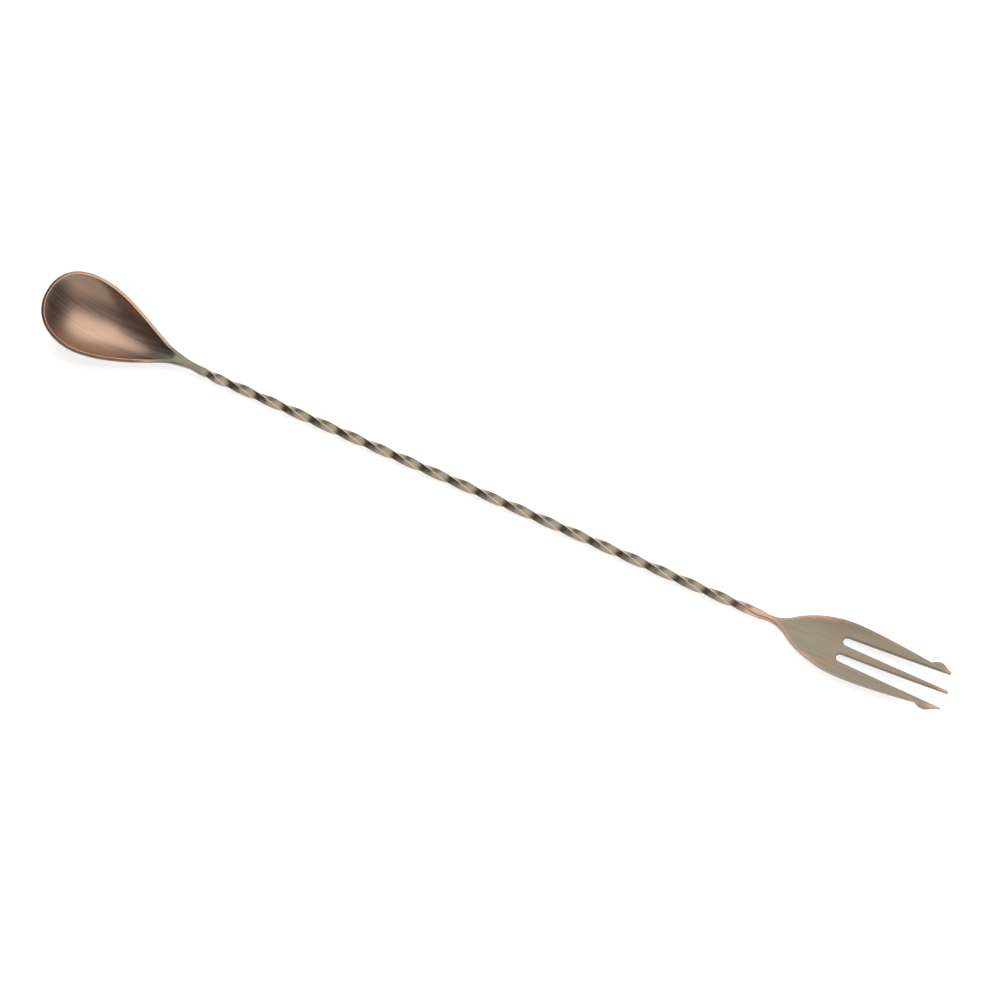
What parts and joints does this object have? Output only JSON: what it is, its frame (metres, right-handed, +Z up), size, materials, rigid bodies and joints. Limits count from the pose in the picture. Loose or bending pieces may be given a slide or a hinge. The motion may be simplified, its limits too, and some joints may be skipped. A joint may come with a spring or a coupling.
{
  "type": "bar spoon",
  "caption": "Long bar spoon for stirring and garnishing, with a deep teardrop bowl, a twisted square stem and a barbed fork end.",
  "frame": {"origin": "middle of the spoon's length and width, on the surface that it lies on", "axes": "+X along the stem from the bowl to the fork, +Z up out of the bowl's hollow, +Y to the left when looking along +X"},
  "size_m": [0.315, 0.0267, 0.0132],
  "materials": {
    "bowl_finish": "antiqued copper plate on stainless steel, brushed along the length, dark in the hollows",
    "bowl_weld_finish": "antiqued copper plate on a ground weld",
    "stem_finish": "antiqued copper plate, olive on the faces and bright on the worn edges",
    "fork_weld_finish": "antiqued copper plate on a ground weld",
    "fork_finish": "antiqued copper plate, brushed along the tines, worn bright at the edges and tips"
  },
  "bodies": {
    "root": {"bowl": "bowl_finish", "bowl_weld": "bowl_weld_finish", "stem": "stem_finish", "fork_weld": "fork_weld_finish", "fork": "fork_finish"}
  },
  "joints": []
}
